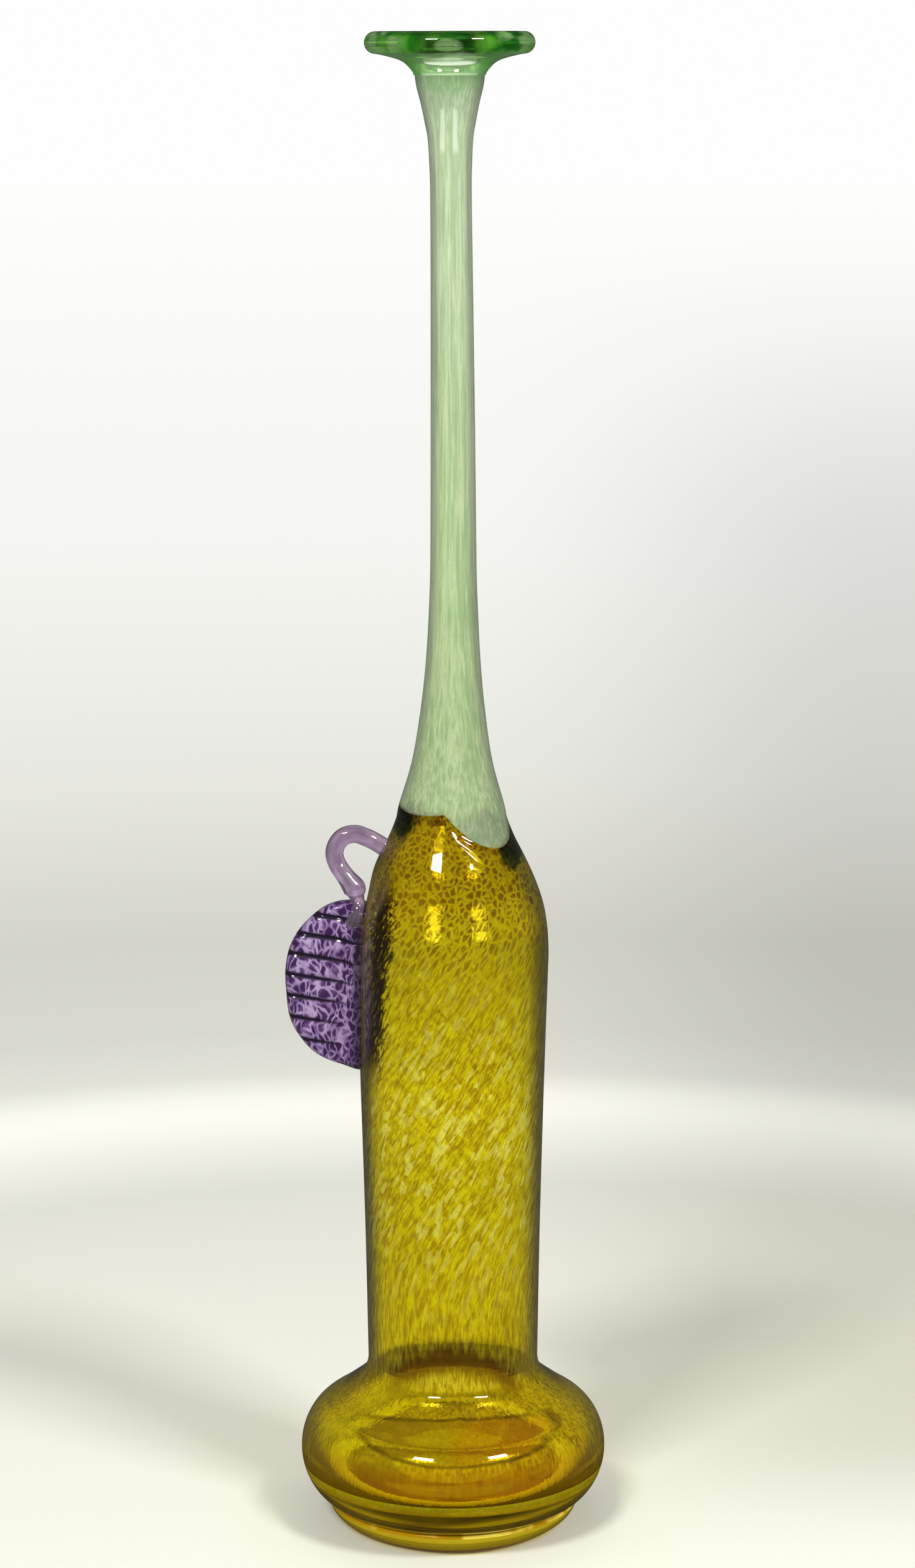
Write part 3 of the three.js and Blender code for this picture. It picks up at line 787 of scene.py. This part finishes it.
def make_body():
    fade = JOIN[1] - LOBE_FADE
    heights = np.concatenate([np.linspace(WAIST[1], BELLY[1], 60)[1:],
                              np.linspace(BELLY[1], fade, 24)[1:],
                              np.linspace(fade, JOIN[1] - SEAM, 30)[1:]])
    bulge = bulge_outline()
    seat = bulge[0][1]
    outside = [(0, seat), (FUSED_RADIUS, seat), *bulge, *wall_rows(heights)]
    down = heights[::-1]
    inside = [*wall_rows(down, body_wall(down)), *cavity_outline()]
    heel = sum(height < HEEL for _, height in bulge)
    bands = [1, 1] + [3] * heel + [0] * (len(outside) - heel - 3) + [1] + [2] * (len(inside) - 1)
    for i, (radius, height) in enumerate(inside[:-1]):
        if radius > GLEAM[0] and height < GLEAM[1]:
            bands[len(outside) + i] = 4
    rows = turned(outside + inside)
    rows = press_flat(follow_join(rows, lambda z: (z - fade) / LOBE_FADE))
    rows[:len(outside)] = corded(rows[:len(outside)])
    made = shell("body_glass", rows, bands,
                 [body_casing(), FUSED, amber_frit(), amber_heel(), frit_edge()])
    grain(made, body_grain)
    return made


def body_grain(points):
    """Streaks stand upright low on the wall, lean over the wall and shorten at the shoulder."""
    x, y, z = points.T
    heights = np.linspace(0, 180, 721)
    step = heights[1]
    lean = 0.0265 * smooth(heights, 45, 80) * (1 - smooth(heights, 140, 165))
    turn = np.interp(z, heights, np.cumsum(lean) * step)
    length = mixed(mixed(5, 3, smooth(heights, 40, 90)), 1.3, smooth(heights, 135, 152))
    up = np.interp(z, heights, np.cumsum(1 / length) * step)
    radius = np.hypot(x, y)
    angle = np.arctan2(y, x) - turn
    return np.stack([radius * np.cos(angle), radius * np.sin(angle), up], 1)


# Neck and lip ---------------------------------------------------------------------------------

NECK_WALL = 1.3
LIP_SEAT = 340.35
NECK_GRAIN = (1, 1, 0.035)

LIP_RIM = (16.7, 347.5)
LIP_ROUNDING = 2.5
LIP_ROOT = 8.15
LIP_UNDER = [(0.02, 0.13), (0.13, 0.38), (0.25, 0.58), (0.44, 0.755), (0.8, 0.93)]
MOUTH = (9, 349.1)
MOUTH_ROOT = 6.6


def make_neck():
    fade = JOIN[1] + LOBE_FADE
    heights = np.concatenate([np.linspace(JOIN[1] + SEAM, fade, 30),
                              np.linspace(fade, NECK_SLIM[1], 60)[1:],
                              np.linspace(NECK_SLIM[1], LIP_SEAT - SEAM, 40)[1:]])
    outside = wall_rows(heights)
    inside = wall_rows(heights[::-1], NECK_WALL)
    bands = [0] * (len(outside) - 1) + [1] + [2] * (len(inside) - 1) + [1]
    rows = follow_join(turned(outside + inside), lambda z: (fade - z) / LOBE_FADE)
    made = shell("neck_glass", bowed(rows), bands, [neck_casing(), FUSED, milky_green()],
                 looped=True)
    grain(made, lambda points: points * NECK_GRAIN)
    return made


def make_lip():
    seat = LIP_SEAT + SEAM
    low, high = (LIP_ROOT, seat), (LIP_RIM[0], LIP_RIM[1] - LIP_ROUNDING)
    under = through([low, *between(low, high, LIP_UNDER), high], 40)
    rim = arc(LIP_RIM, (LIP_ROUNDING, LIP_ROUNDING), -90, 90, 40)
    bore = (MOUTH_ROOT, seat)
    funnel = through([MOUTH, *between(MOUTH, bore, [(0.45, 0.1)]), bore], 16)
    outline = [*map(tuple, under), *rim[1:], *map(tuple, funnel), (NECK_TOP[0], seat)]
    bands = [0] * (len(outline) - 2) + [1, 0]
    return shell("lip_glass", turned(outline), bands, [emerald(), FUSED], looped=True)


# Leaf and tendril -----------------------------------------------------------------------------

LEAF_SPAN = 20.2
LEAF_ROWS = 170
LEAF_COLUMNS = 60
LEAF_ROOT = 19
LEAF_HALF = 2.8
LEAF_ROOT_HALF = math.sqrt(20)
LEAF_SWELL = 2.2
SWELL_FROM, SWELL_WIDE = 3.6, 4.5
LEAF_ROUNDING = 2.4
LEAF_LEAN = 7.7
LEAF_TURN = -4
GROOVE_DEPTH = 0.7
GROOVE_PITCH = 5.05
GROOVE_FIRST = 4.3
SUNK = 0.3

# Rim of the leaf, as shares of its span and its height
LEAF_RIM = [
    (0.1, 0), (0.33, 0.015), (0.55, 0.04), (0.71, 0.08), (0.83, 0.14), (0.91, 0.2), (0.965, 0.275),
    (0.99, 0.39), (1, 0.52), (0.96, 0.645), (0.87, 0.75), (0.74, 0.84), (0.57, 0.925), (0.4, 0.975),
    (0.25, 0.993), (0.1, 1),
]


def rounding(distance):
    inside = np.clip(distance / LEAF_ROUNDING, 0, 1)
    return np.sqrt(1 - (1 - inside) ** 2)


def leaf_row(height, rim):
    """Places out from the root, half thickness and depth of groove at one height of the leaf."""
    level = LEAF_LOW + height
    wall = radius_at(level) - flat_at(math.pi, level) - SUNK
    start = min(math.sqrt(wall ** 2 - LEAF_ROOT_HALF ** 2) - LEAF_ROOT, rim)
    out = start + (rim - start) * (1 - (1 - np.linspace(0, 1, LEAF_COLUMNS)) ** 1.8)
    swell = LEAF_SWELL * np.clip(1 - (out - SWELL_FROM) / SWELL_WIDE, 0, 1) ** 2
    wave = np.abs(np.sin(math.pi * (LEAF_TALL - GROOVE_FIRST - height) / GROOVE_PITCH))
    reach = np.clip(mixed(0.5, 1.4, height / LEAF_TALL) - (rim - out) / LEAF_SPAN, 0, 1)
    groove = (1 - wave) ** 2 * np.sqrt(reach)
    end = rounding(min(height, LEAF_TALL - height)) * rounding(rim - out)
    return out, (LEAF_HALF + swell - GROOVE_DEPTH * groove) * end, groove


def make_leaf():
    rim_line = through([(LEAF_SPAN * a, LEAF_TALL * b) for a, b in LEAF_RIM], 400)
    even = np.linspace(0, 1, LEAF_ROWS)
    heights = LEAF_TALL * (0.3 * (1 - np.cos(math.pi * even)) + 0.4 * even)
    points, grooves = [], []
    for side in (-1, 1):
        for height in heights:
            rim = np.interp(height, rim_line[:, 1], rim_line[:, 0])
            out, half, groove = leaf_row(height, rim)
            rise = LEAF_LOW + height + out * math.tan(math.radians(LEAF_LEAN))
            points.append(np.stack([-LEAF_ROOT - out, side * half, rise], 1))
            grooves.append(groove)
    points = np.concatenate(points)
    turn = math.radians(LEAF_TURN)
    x, y, z = points.T
    points = np.stack([x * math.cos(turn) - y * math.sin(turn),
                       x * math.sin(turn) + y * math.cos(turn), z], 1)
    back = LEAF_ROWS * LEAF_COLUMNS
    faces = []
    for r in range(LEAF_ROWS - 1):
        for c in range(LEAF_COLUMNS - 1):
            a, b = r * LEAF_COLUMNS + c, (r + 1) * LEAF_COLUMNS + c
            faces.append([a, b, b + 1, a + 1])
            faces.append([back + a, back + a + 1, back + b + 1, back + b])
        a, b = r * LEAF_COLUMNS, (r + 1) * LEAF_COLUMNS
        faces.append([a, back + a, back + b, b])
    points, faces, kept = welded(points, faces)
    made = piece("leaf_pad", points, faces, [leaf_purple()])
    depth = np.concatenate(grooves)[kept]
    grain(made, lambda p: np.stack([p[:, 0], p[:, 1], depth], 1))
    return made


def welded(points, faces):
    """Makes corners at one place one corner and drops the faces that vanish."""
    _, first, index = np.unique(np.round(points, 4), axis=0, return_index=True,
                                return_inverse=True)
    index = index.ravel()
    kept = []
    for face in faces:
        corners = list(dict.fromkeys(int(index[c]) for c in face))
        if len(corners) > 2:
            kept.append(corners)
    return points[first], kept, first


# Course of the tendril, as shares of its reach from the wall and of its rise above the leaf's
# top, with the turn in degrees and the share from thin to thick
TENDRIL = [
    (0.19, -0.29, 0, 1), (0.16, -0.19, 7, 0.8), (0.16, -0.07, 10, 0.2), (0.16, 0.05, 8, 0.1),
    (0.23, 0.14, 6, 0.7), (0.31, 0.24, 4, 1.6), (0.53, 0.4, 3, 1.1), (0.77, 0.56, 1, 1),
    (0.95, 0.72, 0, 1), (1, 0.87, 0, 1), (0.92, 0.97, 0, 1), (0.71, 1, 0, 1), (0.46, 0.955, 1, 1),
    (0.24, 0.895, 1, 1), (0, 0.82, 2, 1), (-0.24, 0.74, 2, 1),
]
TENDRIL_REACH = 11.2
TENDRIL_RISE = 16.6
TENDRIL_THIN = 1.2
TENDRIL_THICK = 2.1
TENDRIL_SIDES = 40
TENDRIL_STREAK = 0.15


def tendril_course():
    """Points of the tendril's middle line, with its radius as a fourth value."""
    stops = []
    for out, rise, turn, thick in TENDRIL:
        height = LEAF_TOP + TENDRIL_RISE * rise
        angle = math.pi + math.radians(turn)
        radius = radius_at(height) - flat_at(angle, height) + TENDRIL_REACH * out
        stops.append((radius * math.cos(angle), radius * math.sin(angle), height,
                      mixed(TENDRIL_THIN, TENDRIL_THICK, thick)))
    return through(stops, 140)


def make_tendril():
    course = tendril_course()
    middle, half = course[:, None, :3], course[:, 3, None, None]
    tangent = np.gradient(course[:, :3], axis=0)
    tangent /= np.linalg.norm(tangent, axis=1)[:, None]
    across = np.cross(tangent, (0, 1, 0))
    across /= np.linalg.norm(across, axis=1)[:, None]
    beside = np.cross(tangent, across)
    angles = np.linspace(0, 2 * math.pi, TENDRIL_SIDES, endpoint=False)
    rings = middle + half * (across[:, None] * np.cos(angles)[None, :, None]
                             + beside[:, None] * np.sin(angles)[None, :, None])

    # Where the rod lies on the wall it sinks in no deeper than the leaf
    radius = np.hypot(rings[..., 0], rings[..., 1])
    angle = np.arctan2(rings[..., 1], rings[..., 0])
    seat = radius_at(rings[..., 2]) - flat_at(angle, rings[..., 2]) - SUNK
    rings[..., :2] *= (np.maximum(radius, seat) / radius)[..., None]

    count = len(course)
    faces = []
    for i in range(count - 1):
        for j in range(TENDRIL_SIDES):
            a, b = i * TENDRIL_SIDES + j, i * TENDRIL_SIDES + (j + 1) % TENDRIL_SIDES
            faces.append([a, b, b + TENDRIL_SIDES, a + TENDRIL_SIDES])
    faces.append(list(range(TENDRIL_SIDES))[::-1])
    faces.append([(count - 1) * TENDRIL_SIDES + j for j in range(TENDRIL_SIDES)])
    made = piece("tendril_rod", rings.reshape(-1, 3), faces, [tendril_lavender()])
    steps = np.linalg.norm(np.diff(course[:, :3], axis=0), axis=1)
    far = np.concatenate([[0], np.cumsum(steps)]) * TENDRIL_STREAK
    swept = np.stack([np.tile(TENDRIL_THICK * np.cos(angles), count),
                      np.tile(TENDRIL_THICK * np.sin(angles), count),
                      np.repeat(far, TENDRIL_SIDES)], 1)
    grain(made, lambda points: swept)
    return made


for made, node, slot in [
    (make_foot(), "foot", "foot"),
    (make_body(), "body", "amber"),
    (make_neck(), "neck", "green"),
    (make_lip(), "lip", "emerald"),
    (make_leaf(), "leaf", "purple"),
    (make_tendril(), "tendril", "lavender"),
]:
    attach(made, "root")
    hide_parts(node)


# Studio ---------------------------------------------------------------------------------------

CAMERA_PLACE = (0, -0.886, 0.3475)
CAMERA_TURN = (79.21, 0.121, -0.113)
CAMERA_LENS = 89.34
LAMP_AIM = (0, 0, 0.12)
LAMP_DISTANCE = 1.3
LAMP_ELEVATION = 42.6
LAMP_SIZE = (0.31, 0.12)
FLOOR_RADIUS = 9
FLOOR_CORNERS = 96

# Levels of the room as light, as background, and of room and floor in reflections
ROOM_LIGHT = 0.37
ROOM_SHOWN = 0.99
ROOM_REFLECTED = 0.065
FLOOR_REFLECTED = 0.075

# Level of the floor by its share of the way to the horizon: the lit floor, the shade behind it,
# a bright fold in the paper, and the paper lightening again towards the top
FLOOR_LEVELS = [
    (0.0, 0.95), (0.08, 0.94), (0.13, 0.92), (0.172, 0.8), (0.194, 0.775), (0.238, 0.746),
    (0.262, 0.87), (0.280, 0.95), (0.291, 0.985), (0.302, 0.95), (0.317, 0.76), (0.347, 0.69),
    (0.412, 0.655), (0.518, 0.8), (0.623, 0.88), (0.665, 0.905), (0.747, 0.93), (0.828, 0.956),
    (0.908, 0.987),
]


def seen_rays(finish):
    """1 for what the camera sees, straight or in the glass."""
    names = ("Is Camera Ray", "Is Glossy Ray", "Is Transmission Ray")
    return finish.limited(sum(finish.ray(name) for name in names))


def reflected_rays(finish):
    return finish.limited(finish.ray("Glossy Depth"))


def seen_level(finish):
    """The room is dimmer in reflections than the lit background is through the glass."""
    return mixed(1, ROOM_REFLECTED, reflected_rays(finish))


def floor_levels(finish, place, share, reach):
    """Light that the floor shows far from the vase, a little less of it on the right."""
    levels = finish.add("ShaderNodeValToRGB", {}, {0: share})
    ramp = levels.socket.node.color_ramp
    for spot, level in FLOOR_LEVELS:
        stop = ramp.elements.new(spot) if spot else ramp.elements[0]
        stop.position = spot
        stop.color = (level, level, level * mixed(0.88, 0.99, smooth(spot, 0.1, 0.95)), 1)
    ramp.elements.remove(ramp.elements[-1])
    right = finish.rise(finish.part(place, 0) / reach, 0.0, 0.115)
    slant = 1 - right * finish.fall(share, 0.65, 0.9) * 0.21
    return right, finish.vector("SCALE", {0: levels, 3: slant})


def floor_paper():
    """Pale paper that takes the shadows near the vase, with a painted shadow to the right behind it
    and painted light under it, and shows its own levels far from it.
    """
    finish = new_finish("pale_floor")
    place = finish.place()
    far = finish.length(place)
    reach = far - CAMERA_PLACE[1]
    right, levels = floor_levels(finish, place, far / reach, reach)
    # Painted shadow: the paper darker to the right behind the vase
    shade = right * finish.rise(finish.part(place, 1), -0.03, 0.06) * 0.8
    matt = finish.add("ShaderNodeBsdfDiffuse", {}, {
        "Color": finish.blend(shade, (0.90, 0.905, 0.80), (0.68, 0.67, 0.56))})
    glow = finish.add("ShaderNodeEmission", {}, {"Color": levels, "Strength": seen_level(finish)})
    away = finish.rise(far, 0.17, 0.36) * seen_rays(finish)
    # Painted light: under the vase the floor glows for rays through the glass, standing for the
    # light that the glass focuses there
    under = finish.fall(far, 0.03, 0.05) * finish.ray("Is Transmission Ray")
    surface = finish.either(away + under * 0.7, matt, glow)
    warm = finish.blend(finish.rise(far, 0.05, 0.12), (1, 0.72, 0.2), (1, 1, 1))
    dim = finish.add("ShaderNodeEmission", {}, {"Color": warm, "Strength": FLOOR_REFLECTED})
    return finish.done(finish.either(reflected_rays(finish) * seen_rays(finish), surface, dim))


def make_floor():
    mesh = bpy.data.meshes.new("floor")
    angles = np.linspace(0, 2 * math.pi, FLOOR_CORNERS, endpoint=False)
    corners = [(FLOOR_RADIUS * math.cos(a), FLOOR_RADIUS * math.sin(a), 0) for a in angles]
    mesh.from_pydata(corners, [], [list(range(FLOOR_CORNERS))])
    mesh.materials.append(floor_paper())
    floor = bpy.data.objects.new("floor", mesh)
    bpy.context.collection.objects.link(floor)


def make_world():
    world = bpy.data.worlds.new("studio")
    bpy.context.scene.world = world
    sky = Finish(world)
    shown = sky.add("ShaderNodeBackground", {}, {
        "Color": (1, 1, 1), "Strength": seen_level(sky) * ROOM_SHOWN})
    soft = sky.add("ShaderNodeBackground", {}, {"Color": (1, 1, 1), "Strength": ROOM_LIGHT})
    sky.done(sky.either(seen_rays(sky), soft, shown), kind="ShaderNodeOutputWorld")


def softbox(name, azimuth, level):
    """Lamp on a sphere round the vase. Azimuth 0 is the front, positive to the right."""
    lamp = bpy.data.lights.new(name, "AREA")
    lamp.shape = "RECTANGLE"
    lamp.size, lamp.size_y = LAMP_SIZE
    lamp.energy = level * math.pi * LAMP_SIZE[0] * LAMP_SIZE[1]
    made = bpy.data.objects.new(name, lamp)
    a, e = math.radians(azimuth), math.radians(LAMP_ELEVATION)
    towards = Vector((math.sin(a) * math.cos(e), -math.cos(a) * math.cos(e), math.sin(e)))
    made.location = Vector(LAMP_AIM) + towards * LAMP_DISTANCE
    made.rotation_euler = towards.to_track_quat("Z", "Y").to_euler()
    made.visible_camera = False
    bpy.context.collection.objects.link(made)


def make_camera():
    camera = bpy.data.cameras.new("camera")
    camera.sensor_width = 36
    camera.lens = CAMERA_LENS
    made = bpy.data.objects.new("camera", camera)
    made.location = CAMERA_PLACE
    made.rotation_euler = Euler([math.radians(a) for a in CAMERA_TURN], "XYZ")
    bpy.context.collection.objects.link(made)
    bpy.context.scene.camera = made


make_floor()
make_world()
softbox("left_softbox", -28, 80)
softbox("right_softbox", 43, 76)
make_camera()

bpy.context.scene.view_settings.view_transform = "Standard"
